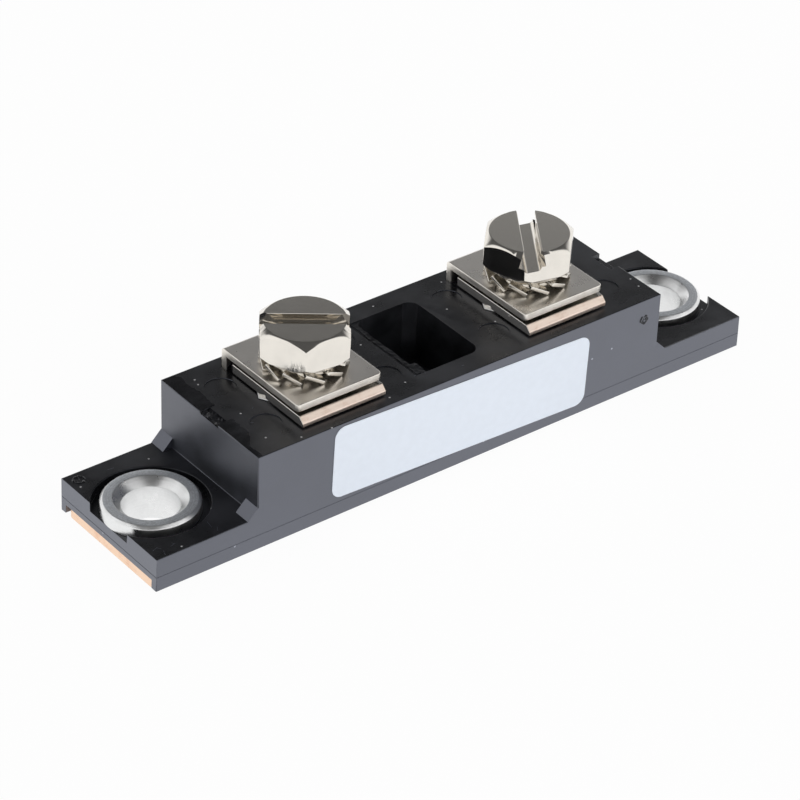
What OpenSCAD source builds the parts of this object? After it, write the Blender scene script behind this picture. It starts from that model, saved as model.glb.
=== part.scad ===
// Two-terminal power diode module: copper base, moulded housing, two screw terminals.
// Millimetres. The origin is the middle of the base's underside, X runs along the module, Z points up.
// The label is on the -Y side. Side a is the -X end, side b the +X end.

/* [Housing] */
// Distance from a terminal screw to the block's end wall
block_margin = 14.04; // [13:0.02:16]
// Distance from the block's end wall to the mounting hole's centre
hole_margin = 8.455; // [7.8:0.005:12]
// Distance from the mounting hole's centre to the flange's end, at its foot
end_margin = 6.22; // [5.8:0.02:10]
// Width of the moulding
body_w = 20.3; // [19.6:0.1:24]
// Height of the block's top above the base's underside
block_h = 13.8; // [12.6:0.1:16]
// Height of the flanges' top above the base's underside
flange_h = 5.1; // [4.6:0.1:6]
// Taper of each flange end wall from foot to top
end_draft = 0.14; // [0.02:0.02:0.3]
// Rounding of the outer edges
edge_r = 0.15; // [0.1:0.05:0.5]
// Thickness of the side skirts that hold the base plate
skirt_t = 1.0; // [0.8:0.05:1.4]
// Height of the skirts' lower edge above the base's underside
skirt_gap = 0.55; // [0.2:0.05:0.9]
// Size of the corner gussets across the module
gusset_w = 2.5; // [1.5:0.1:3.5]
// Run and rise of the corner gussets
gusset_run = 1.45; // [0.8:0.05:1.8]
// Fillet where the block meets the flanges
foot_r = 0.15; // [0.1:0.05:0.6]

/* [Middle pocket] */
// Distance from a terminal screw to the pocket's wall
pocket_margin = 12.91; // [12.2:0.01:15]
// Width of the pocket
pocket_w = 13.9; // [9:0.1:15]
// Depth of the pocket
pocket_d = 8.3; // [4:0.1:9.5]
// Corner radius of the pocket
pocket_r = 1.5; // [0.5:0.1:2.5]
// Width of the shallow step beside the pocket
step_w = 1.0; // [0.4:0.1:1.3]
// Depth of the shallow step
step_d = 0.12; // [0.05:0.01:0.3]

/* [Moulding marks] */
// Width of the gate notches in the block's end edges
gate_w = 3.8; // [2:0.1:6]
// Run of the gate notches along the module
gate_run = 1.4; // [0.6:0.1:2]
// Depth of the gate notch at end a
gate_depth_a = 0.35; // [0.1:0.05:0.8]
// Depth of the gate notch at end b
gate_depth_b = 0.7; // [0.1:0.05:1.2]
// Diameter of the ejector marks
ejector_d = 4.0; // [2:0.1:5]
// Depth of the ejector marks
ejector_depth = 0.1; // [0.05:0.01:0.2]
// Distance of the ejector marks from a terminal's centre along the module
ejector_x = 9.0; // [8.7:0.1:9.4]
// Distance of the ejector marks from the middle line
ejector_y = 4.7; // [3:0.1:6]

/* [Base plate] */
// Thickness of the copper base plate
plate_t = 1.6; // [1.3:0.05:2]
// Set-back of the plate's ends from the moulding's ends
plate_inset = 0.35; // [0.1:0.05:0.6]
// Gap between the plate and each skirt
plate_gap = 0.05; // [0.02:0.01:0.15]
// Corner radius of the plate
plate_r = 0.8; // [0.3:0.1:2]
// Thickness of the adhesive between plate and housing
seal_t = 0.1; // [0.05:0.01:0.2]
// Set-back of the adhesive from the plate's edge
seal_inset = 0.4; // [0.1:0.1:1]

/* [Mounting bushings] */
// Bore of the bushings
bush_bore_d = 7.2; // [6.4:0.1:7.6]
// Diameter of the bushings' heads
bush_d = 12.3; // [11.6:0.05:12.8]
// Diameter of the spigot that passes through the housing and the base plate
spigot_d = 10; // [9:0.1:10.4]
// Height of the bushings above the flanges
bush_proud = 0.6; // [0.2:0.05:1.2]
// Chamfer on the outer top edge
bush_chamfer = 0.38; // [0.1:0.02:0.6]
// Diameter of the countersink at the top
sink_d = 9.26; // [8.4:0.02:10]
// Depth of the countersink
sink_depth = 1.0; // [0.4:0.1:1.6]
// Gap between a bushing and what it sits in
bush_gap = 0.04; // [0.02:0.01:0.1]
// Diameter of the round recess in the flange about each bushing
recess_d = 14.5; // [13.6:0.1:15.4]
// Depth of the round recess
recess_depth = 1.25; // [0.6:0.05:1.8]
// Break of the recess's upper edge
recess_break = 0.1; // [0.05:0.05:0.3]

/* [Terminals] */
// Distance between the two terminal screws
term_pitch = 35.02; // [31:0.02:40]
// Width of the straps along the module
strap_w = 12.7; // [12:0.1:13.4]
// Thickness of the straps
strap_t = 1.0; // [0.8:0.05:1.2]
// Outer radius of the straps' bends
strap_bend = 0.5; // [0.2:0.05:0.8]
// Distance from the screw to the strap's free edge
strap_reach = 7.35; // [6.6:0.05:8.2]
// Distance from the screw to the inner face of the strap's leg
leg_reach = 7.3; // [7.1:0.05:7.5]
// Distance from the screw to the end of the strap's foot inside the housing
foot_reach = 4.9; // [4.8:0.1:5.6]
// Corner radius of the strap's free edge
strap_corner = 0.6; // [0.2:0.1:1.5]
// Screw hole in the straps and contact plates
strap_hole_d = 7.1; // [6.8:0.1:7.6]
// Gap between a strap and the contact plate under it
strap_lift = 0.4; // [0.1:0.05:0.8]
// Gap round a strap's leg in the housing
leg_gap = 0.1; // [0.05:0.01:0.15]
// Width of the contact plates along the module
contact_w = 12.5; // [11.6:0.1:13.2]
// Thickness of the contact plates
contact_t = 1.25; // [0.9:0.05:1.5]
// Distance from the screw to the contact plate's outer edge
contact_reach = 8.3; // [7.4:0.05:8.8]
// Bevel of the contact plate's outer edge
contact_bevel = 0.7; // [0.3:0.05:0.8]
// Gap between a contact plate and the strap's leg
contact_gap = 1.15; // [0.8:0.05:1.6]

/* [Screws, washers and nuts] */
// Thread diameter of the screws
screw_d = 6.3; // [5.8:0.05:6.35]
// Length of the screws under the head
screw_l = 9.5; // [8.4:0.1:10.4]
// Width of the screw heads across flats
head_af = 10.9; // [10.4:0.05:11.2]
// Height of the hexagon
head_h = 4.05; // [3.6:0.05:4.8]
// Diameter of the flat top inside the head's upper bevel
top_d = 10.3; // [9.6:0.05:10.8]
// Bevel of the head's lower corners
head_bevel = 0.5; // [0.2:0.05:0.7]
// Diameter of the washer face under the hexagon
face_d = 10.3; // [9.6:0.1:10.4]
// Height of the washer face
face_t = 0.5; // [0.2:0.05:0.8]
// Width of the driver slot
slot_w = 2.25; // [1.6:0.05:2.8]
// Depth of the driver slot
slot_d = 2.3; // [1.4:0.05:2.8]
// Radius of the slot's lower corners
slot_r = 0.5; // [0.2:0.05:0.6]
// Run of the slot's flared mouths along its upper edge
mouth_run = 1.3; // [0.7:0.1:2]
// Angle at which a mouth flares, degrees
mouth_flare = 30; // [25:1:45]
// Lean of a flare, which closes it towards the slot's floor, degrees
mouth_lean = 14; // [8:1:30]
// Direction of a hexagon corner of the head at side a, degrees
head_turn_a = -125; // [-180:1:180]
// Direction of a hexagon corner of the head at side b, degrees
head_turn_b = -134; // [-180:1:180]
// Direction of the driver slot at side a, degrees
slot_turn_a = -36; // [-180:1:180]
// Direction of the driver slot at side b, degrees
slot_turn_b = -124; // [-180:1:180]
// Gap between lock washer and screw head at side a
head_gap_a = 0.04; // [0.02:0.02:0.5]
// Gap between lock washer and screw head at side b
head_gap_b = 0.22; // [0.02:0.02:0.5]
// Outer diameter of the lock washers
washer_od = 10.9; // [10.2:0.05:11.6]
// Inner diameter of the lock washers
washer_bore_d = 6.6; // [6.5:0.05:6.8]
// Outer diameter of the washers' flat ring
ring_od = 8.4; // [7.8:0.1:8.8]
// Thickness of the washer sheet
washer_t = 0.5; // [0.4:0.05:0.6]
// Number of washer teeth
tooth_n = 12; // [8:1:12]
// Width of a tooth
tooth_w = 2.6; // [1.8:0.05:2.7]
// Twist of a tooth, degrees
tooth_twist = 26; // [15:1:32]
// Turn of the first tooth, degrees
tooth_turn = 8; // [0:1:30]
// Width of the nuts across flats
nut_af = 11.7; // [11:0.05:12]
// Height of the nuts
nut_h = 5.56; // [4.8:0.05:5.7]
// Height of the nuts above the block's top
nut_proud = 0.17; // [0.05:0.01:0.4]
// Bore of the nuts
nut_bore_d = 6.4; // [6.38:0.01:6.6]
// Bevel of the nuts' outer corners
nut_bevel = 0.3; // [0.1:0.05:0.5]
// Gap between a nut and its seat in the housing
nut_gap = 0.1; // [0.05:0.01:0.2]
// Depth of the relief under each nut for the screw's end
relief_d = 1.0; // [0.6:0.1:1.2]

/* [Inside] */
// Side of the square diode chips
chip_s = 9.4; // [8:0.1:9.6]
// Thickness of the chips
chip_t = 0.35; // [0.2:0.05:0.5]
// Thickness of each solder layer
solder_t = 0.1; // [0.05:0.01:0.15]
// Margin of the solder layers outside the chip
solder_rim = 0.1; // [0.05:0.05:0.15]
// Height of the chip chambers
chamber_h = 3.2; // [2.9:0.1:3.4]
// Room between a strap's foot and the chamber's walls
chamber_room = 0.5; // [0.3:0.05:0.6]

/* [Label] */
// Length of the label
label_l = 40.1; // [30:0.1:50]
// Height of the label
label_h = 10.2; // [6:0.1:10.4]
// Thickness of the label
label_t = 0.08; // [0.04:0.01:0.15]
// Corner radius of the label
label_r = 1.5; // [0.5:0.1:2.5]
// Slant of the label, degrees
label_slant = 2; // [0:0.1:2.4]
// Distance of the label's middle from the module's middle
label_x = -0.4; // [-4:0.1:4]
// Distance of the label's middle below the block's top
label_drop = 6.15; // [6:0.05:6.4]

/* [Hidden] */
$fn = 96;
// Overlap of cutting shapes past the faces they cut
cut = 1;
// Depth to which joined shapes of one solid reach into each other
root = 0.6;

pocket_l = term_pitch - 2 * pocket_margin;
block_l = term_pitch + 2 * block_margin;
hole_pitch = block_l + 2 * hole_margin;
body_l = hole_pitch + 2 * end_margin;
seat_z = plate_t + seal_t;
plate_l = body_l - 2 * plate_inset;
plate_w = body_w - 2 * (skirt_t + plate_gap);
contact_z = block_h + nut_proud;
nut_z = contact_z - nut_h;
strap_z = contact_z + contact_t + strap_lift;
strap_top = strap_z + strap_t;
tooth_rise = tooth_w * sin(tooth_twist) + washer_t * cos(tooth_twist);
washer_z = strap_top + tooth_rise / 2;
head_seat = strap_top + tooth_rise;
bush_top = flange_h + bush_proud;
recess_z = flange_h - recess_depth;
chip_z = plate_t + solder_t;
foot_z = chip_z + chip_t + solder_t;
leg_outer = leg_reach + strap_t;
chamber_z = seat_z + chamber_h;
corner_share = 1 / cos(30);
head_corner_r = head_af * corner_share / 2;

// Place of each terminal and each mounting hole, side a first
SIDES = [-1, 1];
HEAD_TURN = [head_turn_a, head_turn_b];
SLOT_TURN = [slot_turn_a, slot_turn_b];
HEAD_GAP = [head_gap_a, head_gap_b];
GATE_DEPTH = [gate_depth_a, gate_depth_b];

// Helpers

// Rectangle about the origin with four round corners
module rounded_rect(l, w, r) {
    square([l - 2 * r, w], center = true);
    square([l, w - 2 * r], center = true);
    for (sx = SIDES, sy = SIDES)
        translate([sx * (l / 2 - r), sy * (w / 2 - r)]) circle(r);
}

// Upright rectangle on the X axis of a drawing with two round upper corners
module round_topped(w, low, high, r) {
    translate([-w / 2, low]) square([w, high - low - r]);
    translate([r - w / 2, low]) square([w - 2 * r, high - low]);
    for (s = SIDES)
        translate([s * (w / 2 - r), high - r]) circle(r);
}

// Drawing in X and Z carried across the module
module across(w) {
    rotate([90, 0, 0]) linear_extrude(w, center = true) children();
}

// Drawing in Y and Z carried along the module
module along(l) {
    rotate([90, 0, 90]) linear_extrude(l, center = true) children();
}

module at_terminal(side) {
    translate([side * term_pitch / 2, 0, 0]) children();
}

module at_hole(side) {
    translate([side * hole_pitch / 2, 0, 0]) children();
}

// Six-sided prism with a corner along +X
module hex_prism(af, h) {
    cylinder(d = af * corner_share, h = h, $fn = 6);
}

// Housing

module flange_bar() {
    intersection() {
        along(body_l + cut) round_topped(body_w, skirt_gap, flange_h, edge_r);
        linear_extrude(flange_h) rounded_rect(body_l, body_w, edge_r);
        across(body_w + cut) polygon([
            [-body_l / 2, skirt_gap],
            [body_l / 2, skirt_gap],
            [body_l / 2 - end_draft, flange_h],
            [end_draft - body_l / 2, flange_h]
        ]);
    }
}

module block_bar() {
    intersection() {
        along(block_l + cut) round_topped(body_w, skirt_gap, block_h, edge_r);
        across(body_w + cut) round_topped(block_l, skirt_gap, block_h, edge_r);
        linear_extrude(block_h) rounded_rect(block_l, body_w, edge_r);
    }
}

// Wedges at the four corners where the block stands on the flanges
module gussets() {
    for (sx = SIDES, sy = SIDES)
        translate([sx * block_l / 2, sy * (body_w - gusset_w) / 2, flange_h])
            across(gusset_w) polygon([
                [-sx * root, -root],
                [sx * gusset_run, -root],
                [sx * gusset_run, 0],
                [0, gusset_run],
                [-sx * root, gusset_run]
            ]);
}

// Concave fillet along the block's two feet
module foot_fillets() {
    for (sx = SIDES)
        translate([sx * block_l / 2, 0, flange_h])
            across(body_w - 2 * gusset_w + root) difference() {
                translate([sx > 0 ? -root : -foot_r, -root]) square([foot_r + root, foot_r + root]);
                translate([sx * foot_r, foot_r]) circle(foot_r);
            }
}

// Bay under the housing that takes the base plate, open at both ends
module plate_bay() {
    translate([0, 0, seat_z / 2])
        cube([body_l + cut, body_w - 2 * skirt_t, seat_z], center = true);
}

module middle_pocket() {
    translate([0, 0, block_h - pocket_d])
        linear_extrude(pocket_d + cut) rounded_rect(pocket_l, pocket_w, pocket_r);
    translate([-pocket_l / 2 - step_w, -pocket_w / 2, block_h - step_d])
        cube([step_w + pocket_r, pocket_w, step_d + cut]);
}

module gate_notches() {
    for (i = [0, 1])
        translate([SIDES[i] * block_l / 2, 0, block_h])
            cube([2 * gate_run, gate_w, 2 * GATE_DEPTH[i]], center = true);
}

module ejector_marks() {
    for (side = SIDES, sx = SIDES, sy = SIDES)
        at_terminal(side)
            translate([sx * ejector_x, sy * ejector_y, block_h - ejector_depth])
                cylinder(d = ejector_d, h = ejector_depth + cut);
}

module bushing_seats() {
    for (side = SIDES) at_hole(side) {
        cylinder(d = spigot_d + 2 * bush_gap, h = flange_h);
        translate([0, 0, recess_z]) cylinder(d = recess_d, h = recess_depth + cut);
        translate([0, 0, flange_h - recess_break])
            cylinder(d1 = recess_d, d2 = recess_d + 2 * recess_break, h = recess_break);
    }
}

module nut_seats() {
    for (side = SIDES) at_terminal(side) {
        translate([0, 0, nut_z]) hex_prism(nut_af + 2 * nut_gap, nut_h + cut);
        translate([0, 0, nut_z - relief_d]) cylinder(d = nut_bore_d, h = relief_d + cut);
    }
}

// Room for one chip and the strap's foot, open onto the base plate
module chamber() {
    translate([-strap_w / 2 - chamber_room, -foot_reach - chamber_room, plate_t])
        cube([strap_w + 2 * chamber_room, foot_reach + leg_outer + leg_gap + chamber_room, seal_t + chamber_h]);
}

module leg_slots() {
    for (side = SIDES) at_terminal(side)
        translate([-strap_w / 2 - leg_gap, leg_reach - leg_gap, chamber_z - cut])
            cube([strap_w + 2 * leg_gap, strap_t + 2 * leg_gap, block_h - chamber_z + 2 * cut]);
}

module housing() {
    color("#1d1e20") difference() {
        union() {
            flange_bar();
            block_bar();
            gussets();
            foot_fillets();
        }
        plate_bay();
        middle_pocket();
        gate_notches();
        ejector_marks();
        bushing_seats();
        nut_seats();
        for (side = SIDES) at_terminal(side) chamber();
        leg_slots();
    }
}

// Base

module base_plate() {
    color("#e2a173") difference() {
        linear_extrude(plate_t) rounded_rect(plate_l, plate_w, plate_r);
        for (side = SIDES) at_hole(side)
            translate([0, 0, -cut]) cylinder(d = spigot_d + 2 * bush_gap, h = plate_t + 2 * cut);
    }
}

module base_seal() {
    color("#3a3632") translate([0, 0, plate_t]) difference() {
        linear_extrude(seal_t)
            rounded_rect(plate_l - 2 * seal_inset, plate_w - 2 * seal_inset, plate_r);
        for (side = SIDES) {
            at_hole(side) translate([0, 0, -cut]) cylinder(d = spigot_d + 2 * bush_gap, h = seal_t + 2 * cut);
            at_terminal(side) translate([0, 0, -plate_t]) chamber();
        }
    }
}

// Turned sleeve with a countersunk bore, a head in the flange's recess and a spigot through to the underside
module mounting_bushing(side) {
    color("#b9bcc0") at_hole(side) rotate_extrude() polygon([
        [bush_bore_d / 2, 0],
        [spigot_d / 2, 0],
        [spigot_d / 2, recess_z],
        [bush_d / 2, recess_z],
        [bush_d / 2, bush_top - bush_chamfer],
        [bush_d / 2 - bush_chamfer, bush_top],
        [sink_d / 2, bush_top],
        [bush_bore_d / 2, bush_top - sink_depth]
    ]);
}

// Terminals

// Flat end of a strip from the bend to its free edge at -Y, with round corners
module strip_end(reach, low) {
    translate([0, 0, low]) linear_extrude(strap_t) {
        translate([-strap_w / 2, strap_corner - reach])
            square([strap_w, reach - strap_corner + leg_outer - strap_bend]);
        translate([strap_corner - strap_w / 2, -reach]) square([strap_w - 2 * strap_corner, strap_corner]);
        for (s = SIDES)
            translate([s * (strap_w / 2 - strap_corner), strap_corner - reach]) circle(strap_corner);
    }
}

// One strip bent twice: the screw tab on top, the leg through the housing, the foot on the chip
module strap_strip() {
    low_bend = foot_z + strap_bend;
    high_bend = strap_top - strap_bend;
    strip_end(strap_reach, strap_z);
    strip_end(foot_reach, foot_z);
    along(strap_w) {
        translate([leg_reach, low_bend]) square([strap_t, high_bend - low_bend]);
        for (z = [low_bend, high_bend])
            translate([leg_outer - strap_bend, z]) circle(strap_bend);
    }
}

module terminal_strap(side) {
    color("#b4ada3") at_terminal(side) difference() {
        strap_strip();
        translate([0, 0, contact_z]) cylinder(d = strap_hole_d, h = strap_top - contact_z + cut);
    }
}

// Sheared strip under a strap, bevelled along its outer edge
module contact_plate(side) {
    far_y = leg_reach - contact_gap;
    color("#d9b49a") at_terminal(side) translate([0, 0, contact_z]) difference() {
        along(contact_w) polygon([
            [-contact_reach, 0],
            [far_y, 0],
            [far_y, contact_t],
            [contact_bevel - contact_reach, contact_t],
            [-contact_reach, contact_t - contact_bevel]
        ]);
        translate([0, 0, -cut]) cylinder(d = strap_hole_d, h = contact_t + 2 * cut);
    }
}

// Screws, washers and nuts

// Solid of revolution that bevels the head's upper edge at 45 degrees and its lower corners
module head_turning() {
    rotate_extrude() polygon([
        [0, 0],
        [head_corner_r - head_bevel, 0],
        [head_corner_r, head_bevel],
        [head_corner_r, head_h - head_corner_r + top_d / 2],
        [top_d / 2, head_h],
        [0, head_h]
    ]);
}

// Driver slot along X with round lower corners, its floor at the origin's height
module slot_channel() {
    along(2 * head_corner_r + cut) {
        translate([-slot_w / 2, slot_r]) square([slot_w, slot_d - slot_r + cut]);
        translate([slot_r - slot_w / 2, 0]) square([slot_w - 2 * slot_r, slot_d]);
        for (s = SIDES)
            translate([s * (slot_w / 2 - slot_r), slot_r]) circle(slot_r);
    }
}

// Leaning cuts that widen both ends of the slot towards the head's top
module slot_mouths() {
    for (sx = SIDES, sy = SIDES)
        mirror([sx > 0 ? 0 : 1, 0, 0]) mirror([0, sy > 0 ? 0 : 1, 0])
            translate([head_af / 2 - mouth_run, slot_w / 2, slot_d])
                rotate([-mouth_lean, 0, mouth_flare])
                    translate([-cut, -slot_w / 2, -slot_d]) cube([2 * mouth_run + cut, slot_w / 2, 2 * slot_d]);
}

module screw(head_turn, slot_turn, face_z) {
    head_z = face_z + face_t;
    translate([0, 0, face_z - screw_l]) cylinder(d = screw_d, h = screw_l + root);
    translate([0, 0, face_z]) cylinder(d = face_d, h = face_t + root);
    translate([0, 0, head_z]) difference() {
        intersection() {
            rotate([0, 0, head_turn]) hex_prism(head_af, head_h);
            head_turning();
        }
        translate([0, 0, head_h - slot_d]) rotate([0, 0, slot_turn]) {
            slot_channel();
            slot_mouths();
        }
    }
}

module terminal_screws() {
    color("#cfc9bd") for (i = [0, 1])
        at_terminal(SIDES[i]) screw(HEAD_TURN[i], SLOT_TURN[i], head_seat + HEAD_GAP[i]);
}

// Flat ring with blades twisted about their own radial middle lines
module lock_washer() {
    ring_r = (washer_bore_d + ring_od) / 4;
    difference() {
        union() {
            cylinder(d = ring_od, h = washer_t, center = true);
            for (i = [0 : tooth_n - 1])
                rotate([0, 0, tooth_turn + 360 * i / tooth_n])
                    rotate([-tooth_twist, 0, 0])
                        translate([ring_r, -tooth_w / 2, -washer_t / 2])
                            cube([washer_od / 2 - ring_r, tooth_w, washer_t]);
        }
        cylinder(d = washer_bore_d, h = tooth_rise + cut, center = true);
    }
}

module lock_washers() {
    color("#c7c0b3") for (side = SIDES)
        at_terminal(side) translate([0, 0, washer_z]) lock_washer();
}

module captive_nut() {
    corner_r = nut_af * corner_share / 2;
    difference() {
        intersection() {
            hex_prism(nut_af, nut_h);
            rotate_extrude() polygon([
                [0, 0],
                [corner_r - nut_bevel, 0],
                [corner_r, nut_bevel],
                [corner_r, nut_h],
                [0, nut_h]
            ]);
        }
        translate([0, 0, -cut]) cylinder(d = nut_bore_d, h = nut_h + 2 * cut);
    }
}

module captive_nuts() {
    color("#c9c9c6") for (side = SIDES)
        at_terminal(side) translate([0, 0, nut_z]) captive_nut();
}

// Label

module label() {
    color("#e8eef8")
        translate([label_x, -body_w / 2 - label_t / 2, block_h - label_drop])
            rotate([0, label_slant, 0]) across(label_t) rounded_rect(label_l, label_h, label_r);
}

// Inside

module square_layer(side, s, low, t) {
    at_terminal(side) translate([0, 0, low + t / 2]) cube([s, s, t], center = true);
}

module diode_chip(side) {
    color("#6d7178") square_layer(side, chip_s, chip_z, chip_t);
}

module base_solder(side) {
    color("#9a9c9e") square_layer(side, chip_s + 2 * solder_rim, plate_t, solder_t);
}

module lead_solder(side) {
    color("#9a9c9e") square_layer(side, chip_s - 2 * solder_rim, chip_z + chip_t, solder_t);
}

module gel_fill(side) {
    color("#d8dad6") difference() {
        at_terminal(side) chamber();
        base_solder(side);
        diode_chip(side);
        lead_solder(side);
        terminal_strap(side);
    }
}

housing();
base_plate();
base_seal();
mounting_bushing(-1);  // mounting_bushing_a
mounting_bushing(1);  // mounting_bushing_b
terminal_strap(-1);  // terminal_strap_a
terminal_strap(1);  // terminal_strap_b
contact_plate(-1);  // contact_plate_a
contact_plate(1);  // contact_plate_b
terminal_screws();
lock_washers();
captive_nuts();
label();
diode_chip(-1);  // diode_chip_a
diode_chip(1);  // diode_chip_b
base_solder(-1);  // base_solder_a
base_solder(1);  // base_solder_b
lead_solder(-1);  // lead_solder_a
lead_solder(1);  // lead_solder_b
gel_fill(-1);  // gel_fill_a
gel_fill(1);  // gel_fill_b
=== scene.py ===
"""Looks of a two-terminal power diode module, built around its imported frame.

The module is a glossy black moulding on a copper base. Two turned bushings take the mounting screws,
and each terminal is a bent plated strap with a contact plate, a captive nut, a toothed washer and a
slotted hexagon screw. Every piece is in metres, in the frame's own axes.
"""

from __future__ import annotations

import logging
import math
from dataclasses import dataclass
from enum import Enum, IntEnum
from typing import Callable, Iterable, Sequence, Union

import bmesh
import bpy
from mathutils import Matrix, Vector, noise

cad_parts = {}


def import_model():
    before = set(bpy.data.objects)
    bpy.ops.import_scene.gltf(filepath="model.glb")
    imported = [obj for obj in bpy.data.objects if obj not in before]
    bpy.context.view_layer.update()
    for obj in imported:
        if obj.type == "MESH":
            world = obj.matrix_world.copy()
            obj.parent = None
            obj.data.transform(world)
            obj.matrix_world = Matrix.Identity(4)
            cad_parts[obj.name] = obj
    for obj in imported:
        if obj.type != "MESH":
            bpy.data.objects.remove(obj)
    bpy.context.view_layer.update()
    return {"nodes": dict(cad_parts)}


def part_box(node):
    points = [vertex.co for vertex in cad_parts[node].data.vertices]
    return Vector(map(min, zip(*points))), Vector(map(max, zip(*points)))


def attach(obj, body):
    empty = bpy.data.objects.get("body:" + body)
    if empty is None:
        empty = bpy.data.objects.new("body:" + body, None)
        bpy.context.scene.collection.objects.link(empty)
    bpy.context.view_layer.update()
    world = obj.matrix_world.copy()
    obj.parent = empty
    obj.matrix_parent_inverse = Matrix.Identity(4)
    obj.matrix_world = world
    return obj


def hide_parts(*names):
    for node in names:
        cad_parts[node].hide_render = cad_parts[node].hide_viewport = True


LOG = logging.getLogger("diode_module")
MM = 0.001
FAR = 1000.0
FLAT_DEG = 0.5
SHARP_DEG = 38.0
FLAT_AREA = 2.0 * MM * MM
WHITE = (1.0, 1.0, 1.0, 1.0)
SORT_SLANT = Vector((1.0, 0.731, 0.417))

BMesh = bmesh.types.BMesh
Material = bpy.types.Material
Socket = bpy.types.NodeSocket
Nodes = dict[str, bpy.types.Object]
Colour = tuple[float, float, float]
Point = tuple[float, float, float]
Span = tuple[float, float]
Value = Union[Socket, float, Sequence[float]]
ANY: Span = (-FAR, FAR)


class Side(Enum):
    """The two ends of the module, as the sign of their place along X."""

    A = -1
    B = 1

    @property
    def suffix(self) -> str:
        """Ending of the names of this side's pieces."""
        return self.name.lower()


class Face(IntEnum):
    """Material slots of the housing, by kind of face."""

    WALL = 0
    TOP = 1
    END = 2
    TORN = 3
    POCKET = 4


def scaled(values: Sequence[float], factor: float) -> Point:
    """Multiply the three values of a colour or a point by a factor."""
    return tuple(value * factor for value in values)


def opaque(value: Value) -> Value:
    """Give a colour full alpha, and leave a socket as it is."""
    return value if isinstance(value, Socket) else (*value, 1.0)


def layered(place: Vector, waves: Point) -> float:
    """Add two layers of noise, by the cycles in each metre of both and the share of the second."""
    coarse, fine, share = waves
    return noise.noise(place * coarse) + share * noise.noise(place * fine)


@dataclass(frozen=True)
class Pattern:
    """One kind of noise: cycles in each metre, octaves, and the share of the finer octaves."""

    scale: float
    detail: float = 3.0
    roughness: float = 0.5


@dataclass(frozen=True)
class Dimple:
    """Small round spot of a surface, in millimetres."""

    place: Point
    radius: float
    depth: float


class Graph:
    """Short way to wire the nodes of one material or world."""

    def __init__(self, tree: bpy.types.NodeTree) -> None:
        """Take over the node tree of a material or world and empty it."""
        self.tree = tree
        self.tree.nodes.clear()

    def node(self, kind: str, inputs: dict[str | int, Value] | None = None,
             **settings: str) -> bpy.types.Node:
        """Add one node.

        Args:
            kind: Blender's class name of the node, without its ShaderNode prefix.
            inputs: Socket name or number to a value or an output socket.
            settings: Properties of the node.

        Returns:
            The new node.
        """
        made = self.tree.nodes.new("ShaderNode" + kind)
        for name, value in settings.items():
            setattr(made, name, value)
        for key, value in (inputs or {}).items():
            if isinstance(value, Socket):
                self.tree.links.new(value, made.inputs[key])
            else:
                made.inputs[key].default_value = value
        return made

    def place(self) -> Socket:
        """Object coordinates of the shaded point."""
        return self.node("TexCoord").outputs["Object"]

    def mapped(self, stretch: Sequence[float] = (1, 1, 1), offset: Sequence[float] = (0, 0, 0)) -> Socket:
        """Object coordinates stretched along each axis, then moved by an offset in metres."""
        moved = self.node("Mapping", {"Vector": self.place(), "Location": offset, "Scale": stretch})
        return moved.outputs["Vector"]

    def vector(self, operation: str, first: Socket, second: Value = (0, 0, 0)) -> Socket:
        """One number from one or two vectors, by Blender's name of the operation."""
        return self.node("VectorMath", {0: first, 1: second}, operation=operation).outputs["Value"]

    def noise(self, vector: Socket, pattern: Pattern) -> Socket:
        """Grey noise from 0 to 1.

        Args:
            vector: Coordinates to read.
            pattern: Kind of noise.

        Returns:
            The noise value.
        """
        inputs = {
            "Vector": vector,
            "Scale": pattern.scale,
            "Detail": pattern.detail,
            "Roughness": pattern.roughness,
        }
        return self.node("TexNoise", inputs).outputs["Fac"]

    def maths(self, operation: str, *values: Value) -> Socket:
        """Result of one Math node, from numbers or sockets in order."""
        return self.node("Math", dict(enumerate(values)), operation=operation).outputs[0]

    def span(self, value: Socket, low: float, high: float, start: float = 0.0, end: float = 1.0) -> Socket:
        """Map the range from low to high onto start to end, clamped, easing in and out."""
        inputs = {"Value": value, "From Min": low, "From Max": high, "To Min": start, "To Max": end}
        return self.node("MapRange", inputs, interpolation_type="SMOOTHSTEP").outputs["Result"]

    def blend(self, share: Socket, first: Value, second: Value) -> Socket:
        """Mix two colours or sockets by the share of the second."""
        inputs = {0: share, 6: opaque(first), 7: opaque(second)}
        return self.node("Mix", inputs, data_type="RGBA").outputs[2]

    def bump(self, height: Socket, distance: float, strength: float = 1.0,
             under: Socket | None = None) -> Socket:
        """Bump from a height value.

        Args:
            height: Height from 0 to 1.
            distance: Height in metres that 1 stands for.
            strength: Share of the effect.
            under: Normal to add the bump to.

        Returns:
            The bumped normal.
        """
        inputs = {"Height": height, "Distance": distance, "Strength": strength}
        if under is not None:
            inputs["Normal"] = under
        return self.node("Bump", inputs).outputs["Normal"]

    def surface(self, **inputs: Value) -> None:
        """Close the tree with one Principled shader.

        Args:
            inputs: Socket names with spaces as underscores, to values or sockets.
        """
        named = {key.replace("_", " "): value for key, value in inputs.items()}
        for key in ("Base Color", "Specular Tint", "Coat Tint"):
            if key in named:
                named[key] = opaque(named[key])
        shader = self.node("BsdfPrincipled", named)
        self.node("OutputMaterial", {"Surface": shader.outputs["BSDF"]})


@dataclass(frozen=True)
class Finish:
    """Look of one kind of surface."""

    name: str

    def wire(self, graph: Graph) -> None:
        """Fill the material's empty node tree."""
        raise NotImplementedError

    def make(self) -> Material:
        """Build the material.

        Returns:
            The finished material.
        """
        material = bpy.data.materials.new(self.name)
        material.use_nodes = True
        self.wire(Graph(material.node_tree))
        return material


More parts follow.
